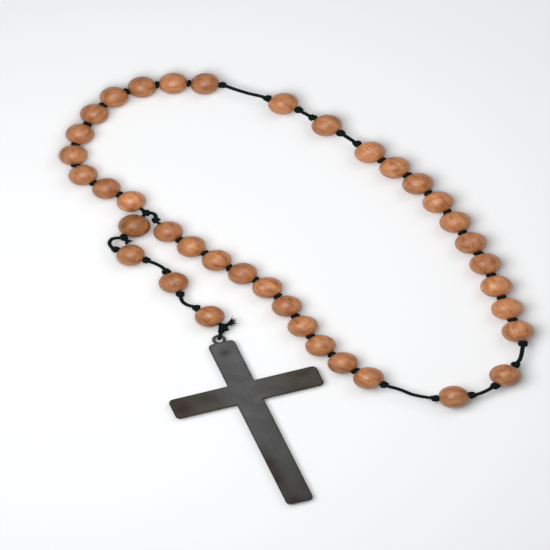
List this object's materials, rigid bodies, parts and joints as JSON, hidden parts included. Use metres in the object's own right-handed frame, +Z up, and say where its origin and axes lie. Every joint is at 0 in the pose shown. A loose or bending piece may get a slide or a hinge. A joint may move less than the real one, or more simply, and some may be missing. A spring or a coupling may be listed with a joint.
{
  "type": "rosary",
  "caption": "Knotted cord rosary laid out flat: a loop of barrel beads in decades, a larger centre bead, a short beaded pendant and a flat cross.",
  "frame": {"origin": "on the surface it lies on, below the middle of the laid-out rosary", "axes": "+Z up, +Y along the laid-out length towards the top of the loop, the cross pointing to -Y"},
  "size_m": [0.2287, 0.298, 0.0164],
  "materials": {
    "bead_wood": "satin",
    "center_wood": "satin",
    "cord": "waxed",
    "cross": "satin"
  },
  "bodies": {
    "center_cord": {"center_cord": "cord"},
    "decade_1_cord_a": {"decade_1_cord_a": "cord"},
    "decade_1_cord_b": {"decade_1_cord_b": "cord"},
    "single_1_cord": {"single_1_cord": "cord"},
    "single_2_cord": {"single_2_cord": "cord"},
    "decade_2_cord_a": {"decade_2_cord_a": "cord"},
    "decade_2_cord_b": {"decade_2_cord_b": "cord"},
    "single_3_cord": {"single_3_cord": "cord"},
    "single_4_cord": {"single_4_cord": "cord"},
    "decade_3_cord_a": {"decade_3_cord_a": "cord"},
    "decade_3_cord_b": {"decade_3_cord_b": "cord"},
    "pendant_1_cord": {"pendant_1_cord": "cord"},
    "pendant_2_cord": {"pendant_2_cord": "cord"},
    "pendant_3_cord": {"pendant_3_cord": "cord"},
    "cross": {"cross": "cross"},
    "center_bead": {"center_bead": "center_wood"},
    "decade_1_bead_01": {"decade_1_bead_01": "bead_wood"},
    "decade_1_bead_02": {"decade_1_bead_02": "bead_wood"},
    "decade_1_bead_03": {"decade_1_bead_03": "bead_wood"},
    "decade_1_bead_04": {"decade_1_bead_04": "bead_wood"},
    "decade_1_bead_05": {"decade_1_bead_05": "bead_wood"},
    "decade_1_bead_06": {"decade_1_bead_06": "bead_wood"},
    "decade_1_bead_07": {"decade_1_bead_07": "bead_wood"},
    "decade_1_bead_08": {"decade_1_bead_08": "bead_wood"},
    "decade_1_bead_09": {"decade_1_bead_09": "bead_wood"},
    "decade_1_bead_10": {"decade_1_bead_10": "bead_wood"},
    "single_bead_1": {"single_bead_1": "bead_wood"},
    "single_bead_2": {"single_bead_2": "bead_wood"},
    "decade_2_bead_01": {"decade_2_bead_01": "bead_wood"},
    "decade_2_bead_02": {"decade_2_bead_02": "bead_wood"},
    "decade_2_bead_03": {"decade_2_bead_03": "bead_wood"},
    "decade_2_bead_04": {"decade_2_bead_04": "bead_wood"},
    "decade_2_bead_05": {"decade_2_bead_05": "bead_wood"},
    "decade_2_bead_06": {"decade_2_bead_06": "bead_wood"},
    "decade_2_bead_07": {"decade_2_bead_07": "bead_wood"},
    "decade_2_bead_08": {"decade_2_bead_08": "bead_wood"},
    "decade_2_bead_09": {"decade_2_bead_09": "bead_wood"},
    "decade_2_bead_10": {"decade_2_bead_10": "bead_wood"},
    "single_bead_3": {"single_bead_3": "bead_wood"},
    "single_bead_4": {"single_bead_4": "bead_wood"},
    "decade_3_bead_01": {"decade_3_bead_01": "bead_wood"},
    "decade_3_bead_02": {"decade_3_bead_02": "bead_wood"},
    "decade_3_bead_03": {"decade_3_bead_03": "bead_wood"},
    "decade_3_bead_04": {"decade_3_bead_04": "bead_wood"},
    "decade_3_bead_05": {"decade_3_bead_05": "bead_wood"},
    "decade_3_bead_06": {"decade_3_bead_06": "bead_wood"},
    "decade_3_bead_07": {"decade_3_bead_07": "bead_wood"},
    "decade_3_bead_08": {"decade_3_bead_08": "bead_wood"},
    "decade_3_bead_09": {"decade_3_bead_09": "bead_wood"},
    "decade_3_bead_10": {"decade_3_bead_10": "bead_wood"},
    "pendant_bead_1": {"pendant_bead_1": "bead_wood"},
    "pendant_bead_2": {"pendant_bead_2": "bead_wood"},
    "pendant_bead_3": {"pendant_bead_3": "bead_wood"}
  },
  "joints": [
    {"name": "loop_flex", "type": "hinge", "parent": "center_cord", "child": "decade_1_cord_a", "pos_m": [-0.07031, 0.05103, 0.0075], "axis": [0, 0, 1], "range_deg": [-10, 10]},
    {"name": "pendant_1_swing", "type": "hinge", "parent": "center_cord", "child": "pendant_1_cord", "pos_m": [-0.08164, 0.03358, 0.0075], "axis": [0, 0, 1], "range_deg": [-28, 1]},
    {"name": "pendant_2_swing", "type": "hinge", "parent": "pendant_1_cord", "child": "pendant_2_cord", "pos_m": [-0.07013, 0.01763, 0.0075], "axis": [0, 0, 1], "range_deg": [-35, 1]},
    {"name": "pendant_3_swing", "type": "hinge", "parent": "pendant_2_cord", "child": "pendant_3_cord", "pos_m": [-0.05341, -0.00605, 0.0075], "axis": [0, 0, 1], "range_deg": [-35, 1]},
    {"name": "cross_lift", "type": "hinge", "parent": "pendant_3_cord", "child": "cross", "pos_m": [-0.03395, -0.03405, 0.0032], "axis": [-0.9848, 0.1736, 0], "range_deg": [0, 90]},
    {"name": "bend_decade_1_b", "type": "hinge", "parent": "decade_1_cord_a", "child": "decade_1_cord_b", "pos_m": [-0.10011, 0.11421, 0.0075], "axis": [0, 0, 1], "range_deg": [-0.53, 0.53]},
    {"name": "bend_single_1", "type": "hinge", "parent": "decade_1_cord_b", "child": "single_1_cord", "pos_m": [-0.03277, 0.14003, 0.0075], "axis": [0, 0, 1], "range_deg": [-11.37, 11.37]},
    {"name": "bend_single_2", "type": "hinge", "parent": "single_1_cord", "child": "single_2_cord", "pos_m": [0.00422, 0.12133, 0.0075], "axis": [0, 0, 1], "range_deg": [-1.52, 1.52]},
    {"name": "bend_decade_2_a", "type": "hinge", "parent": "single_2_cord", "child": "decade_2_cord_a", "pos_m": [0.0244, 0.10479, 0.0075], "axis": [0, 0, 1], "range_deg": [-6.49, 6.49]},
    {"name": "bend_decade_2_b", "type": "hinge", "parent": "decade_2_cord_a", "child": "decade_2_cord_b", "pos_m": [0.08127, 0.03599, 0.0075], "axis": [0, 0, 1], "range_deg": [-2.04, 2.04]},
    {"name": "bend_single_3", "type": "hinge", "parent": "decade_2_cord_b", "child": "single_3_cord", "pos_m": [0.10867, -0.03875, 0.0075], "axis": [0, 0, 1], "range_deg": [-8.39, 8.39]},
    {"name": "bend_single_4", "type": "hinge", "parent": "single_3_cord", "child": "single_4_cord", "pos_m": [0.09568, -0.06701, 0.0075], "axis": [0, 0, 1], "range_deg": [-4.46, 4.46]},
    {"name": "bend_decade_3_a", "type": "hinge", "parent": "single_4_cord", "child": "decade_3_cord_a", "pos_m": [0.06815, -0.07569, 0.0075], "axis": [0, 0, 1], "range_deg": [-8.08, 8.08]},
    {"name": "bend_decade_3_b", "type": "hinge", "parent": "decade_3_cord_a", "child": "decade_3_cord_b", "pos_m": [-0.00594, -0.00741, 0.0075], "axis": [0, 0, 1], "range_deg": [-0.59, 0.59]},
    {"name": "spin_center_bead", "type": "hinge", "parent": "center_cord", "child": "center_bead", "pos_m": [-0.0763, 0.0418, 0.0082], "axis": [0.5446, 0.8387, 0], "continuous": true},
    {"name": "spin_pendant_bead_1", "type": "hinge", "parent": "pendant_1_cord", "child": "pendant_bead_1", "pos_m": [-0.07811, 0.02135, 0.0075], "axis": [0.9063, -0.4226, 0], "continuous": true},
    {"name": "spin_pendant_bead_2", "type": "hinge", "parent": "pendant_2_cord", "child": "pendant_bead_2", "pos_m": [-0.05671, 0.00211, 0.0075], "axis": [0.3746, -0.9272, 0], "continuous": true},
    {"name": "spin_pendant_bead_3", "type": "hinge", "parent": "pendant_3_cord", "child": "pendant_bead_3", "pos_m": [-0.039, -0.02131, 0.0075], "axis": [0.6947, -0.7193, 0], "continuous": true},
    {"name": "spin_decade_1_bead_01", "type": "hinge", "parent": "decade_1_cord_a", "child": "decade_1_bead_01", "pos_m": [-0.07788, 0.05914, 0.0075], "axis": [-0.682, 0.7314, 0], "continuous": true},
    {"name": "spin_decade_1_bead_02", "type": "hinge", "parent": "decade_1_cord_a", "child": "decade_1_bead_02", "pos_m": [-0.09037, 0.06838, 0.0075], "axis": [-0.8988, 0.4384, 0], "continuous": true},
    {"name": "spin_decade_1_bead_03", "type": "hinge", "parent": "decade_1_cord_a", "child": "decade_1_bead_03", "pos_m": [-0.10222, 0.07816, 0.0075], "axis": [-0.6018, 0.7986, 0], "continuous": true},
    {"name": "spin_decade_1_bead_04", "type": "hinge", "parent": "decade_1_cord_a", "child": "decade_1_bead_04", "pos_m": [-0.10725, 0.09236, 0.0075], "axis": [-0.0349, 0.9994, 0], "continuous": true},
    {"name": "spin_decade_1_bead_05", "type": "hinge", "parent": "decade_1_cord_a", "child": "decade_1_bead_05", "pos_m": [-0.10382, 0.10723, 0.0075], "axis": [0.4695, 0.8829, 0], "continuous": true},
    {"name": "spin_decade_1_bead_06", "type": "hinge", "parent": "decade_1_cord_b", "child": "decade_1_bead_06", "pos_m": [-0.09665, 0.12131, 0.0075], "axis": [0.4384, 0.8988, 0], "continuous": true},
    {"name": "spin_decade_1_bead_07", "type": "hinge", "parent": "decade_1_cord_b", "child": "decade_1_bead_07", "pos_m": [-0.08679, 0.13305, 0.0075], "axis": [0.809, 0.5878, 0], "continuous": true},
    {"name": "spin_decade_1_bead_08", "type": "hinge", "parent": "decade_1_cord_b", "child": "decade_1_bead_08", "pos_m": [-0.07277, 0.13974, 0.0075], "axis": [0.9659, 0.2588, 0], "continuous": true},
    {"name": "spin_decade_1_bead_09", "type": "hinge", "parent": "decade_1_cord_b", "child": "decade_1_bead_09", "pos_m": [-0.05724, 0.14192, 0.0075], "axis": [0.9998, 0.0175, 0], "continuous": true},
    {"name": "spin_decade_1_bead_10", "type": "hinge", "parent": "decade_1_cord_b", "child": "decade_1_bead_10", "pos_m": [-0.0415, 0.1411, 0.0075], "axis": [0.9925, -0.1219, 0], "continuous": true},
    {"name": "spin_single_bead_1", "type": "hinge", "parent": "single_1_cord", "child": "single_bead_1", "pos_m": [-0.00324, 0.126, 0.0075], "axis": [0.848, -0.5299, 0], "continuous": true},
    {"name": "spin_single_bead_2", "type": "hinge", "parent": "single_2_cord", "child": "single_bead_2", "pos_m": [0.01766, 0.11044, 0.0075], "axis": [0.766, -0.6428, 0], "continuous": true},
    {"name": "spin_decade_2_bead_01", "type": "hinge", "parent": "decade_2_cord_a", "child": "decade_2_bead_01", "pos_m": [0.03821, 0.09133, 0.0075], "axis": [0.682, -0.7314, 0], "continuous": true},
    {"name": "spin_decade_2_bead_02", "type": "hinge", "parent": "decade_2_cord_a", "child": "decade_2_bead_02", "pos_m": [0.04982, 0.08068, 0.0075], "axis": [0.788, -0.6157, 0], "continuous": true},
    {"name": "spin_decade_2_bead_03", "type": "hinge", "parent": "decade_2_cord_a", "child": "decade_2_bead_03", "pos_m": [0.06069, 0.06943, 0.0075], "axis": [0.5878, -0.809, 0], "continuous": true},
    {"name": "spin_decade_2_bead_04", "type": "hinge", "parent": "decade_2_cord_a", "child": "decade_2_bead_04", "pos_m": [0.07009, 0.05673, 0.0075], "axis": [0.6018, -0.7986, 0], "continuous": true},
    {"name": "spin_decade_2_bead_05", "type": "hinge", "parent": "decade_2_cord_a", "child": "decade_2_bead_05", "pos_m": [0.07805, 0.0432, 0.0075], "axis": [0.4067, -0.9135, 0], "continuous": true},
    {"name": "spin_decade_2_bead_06", "type": "hinge", "parent": "decade_2_cord_b", "child": "decade_2_bead_06", "pos_m": [0.0851, 0.02908, 0.0075], "axis": [0.4848, -0.8746, 0], "continuous": true},
    {"name": "spin_decade_2_bead_07", "type": "hinge", "parent": "decade_2_cord_b", "child": "decade_2_bead_07", "pos_m": [0.09176, 0.01479, 0.0075], "axis": [0.3584, -0.9336, 0], "continuous": true},
    {"name": "spin_decade_2_bead_08", "type": "hinge", "parent": "decade_2_cord_b", "child": "decade_2_bead_08", "pos_m": [0.09677, -0.00018, 0.0075], "axis": [0.2756, -0.9613, 0], "continuous": true},
    {"name": "spin_decade_2_bead_09", "type": "hinge", "parent": "decade_2_cord_b", "child": "decade_2_bead_09", "pos_m": [0.10165, -0.0152, 0.0075], "axis": [0.342, -0.9397, 0], "continuous": true},
    {"name": "spin_decade_2_bead_10", "type": "hinge", "parent": "decade_2_cord_b", "child": "decade_2_bead_10", "pos_m": [0.10639, -0.03025, 0.0075], "axis": [0.2588, -0.9659, 0], "continuous": true},
    {"name": "spin_single_bead_3", "type": "hinge", "parent": "single_3_cord", "child": "single_bead_3", "pos_m": [0.1006, -0.05971, 0.0075], "axis": [-0.5592, -0.829, 0], "continuous": true},
    {"name": "spin_single_bead_4", "type": "hinge", "parent": "single_4_cord", "child": "single_bead_4", "pos_m": [0.07688, -0.07462, 0.0075], "axis": [-0.9925, -0.1219, 0], "continuous": true},
    {"name": "spin_decade_3_bead_01", "type": "hinge", "parent": "decade_3_cord_a", "child": "decade_3_bead_01", "pos_m": [0.03721, -0.06265, 0.0075], "axis": [-0.829, 0.5592, 0], "continuous": true},
    {"name": "spin_decade_3_bead_02", "type": "hinge", "parent": "decade_3_cord_a", "child": "decade_3_bead_02", "pos_m": [0.02518, -0.05255, 0.0075], "axis": [-0.6947, 0.7193, 0], "continuous": true},
    {"name": "spin_decade_3_bead_03", "type": "hinge", "parent": "decade_3_cord_a", "child": "decade_3_bead_03", "pos_m": [0.01451, -0.0409, 0.0075], "axis": [-0.6561, 0.7547, 0], "continuous": true},
    {"name": "spin_decade_3_bead_04", "type": "hinge", "parent": "decade_3_cord_a", "child": "decade_3_bead_04", "pos_m": [0.00611, -0.02772, 0.0075], "axis": [-0.4067, 0.9135, 0], "continuous": true},
    {"name": "spin_decade_3_bead_05", "type": "hinge", "parent": "decade_3_cord_a", "child": "decade_3_bead_05", "pos_m": [-0.00152, -0.01396, 0.0075], "axis": [-0.5592, 0.829, 0], "continuous": true},
    {"name": "spin_decade_3_bead_06", "type": "hinge", "parent": "decade_3_cord_b", "child": "decade_3_bead_06", "pos_m": [-0.01091, -0.00127, 0.0075], "axis": [-0.6293, 0.7771, 0], "continuous": true},
    {"name": "spin_decade_3_bead_07", "type": "hinge", "parent": "decade_3_cord_b", "child": "decade_3_bead_07", "pos_m": [-0.02292, 0.00846, 0.0075], "axis": [-0.891, 0.454, 0], "continuous": true},
    {"name": "spin_decade_3_bead_08", "type": "hinge", "parent": "decade_3_cord_b", "child": "decade_3_bead_08", "pos_m": [-0.03564, 0.01753, 0.0075], "axis": [-0.7193, 0.6947, 0], "continuous": true},
    {"name": "spin_decade_3_bead_09", "type": "hinge", "parent": "decade_3_cord_b", "child": "decade_3_bead_09", "pos_m": [-0.04802, 0.02721, 0.0075], "axis": [-0.848, 0.5299, 0], "continuous": true},
    {"name": "spin_decade_3_bead_10", "type": "hinge", "parent": "decade_3_cord_b", "child": "decade_3_bead_10", "pos_m": [-0.05948, 0.0377, 0.0075], "axis": [-0.6018, 0.7986, 0], "continuous": true}
  ],
  "couplings": [
    {"joint": "bend_decade_1_b", "follows": "loop_flex", "ratio": -0.0532},
    {"joint": "bend_single_1", "follows": "loop_flex", "ratio": -1.1347},
    {"joint": "bend_single_2", "follows": "loop_flex", "ratio": -0.1519},
    {"joint": "bend_decade_2_a", "follows": "loop_flex", "ratio": 0.6476},
    {"joint": "bend_decade_2_b", "follows": "loop_flex", "ratio": 0.2033},
    {"joint": "bend_single_3", "follows": "loop_flex", "ratio": 0.8369},
    {"joint": "bend_single_4", "follows": "loop_flex", "ratio": -0.4454},
    {"joint": "bend_decade_3_a", "follows": "loop_flex", "ratio": -0.806},
    {"joint": "bend_decade_3_b", "follows": "loop_flex", "ratio": -0.0588}
  ]
}
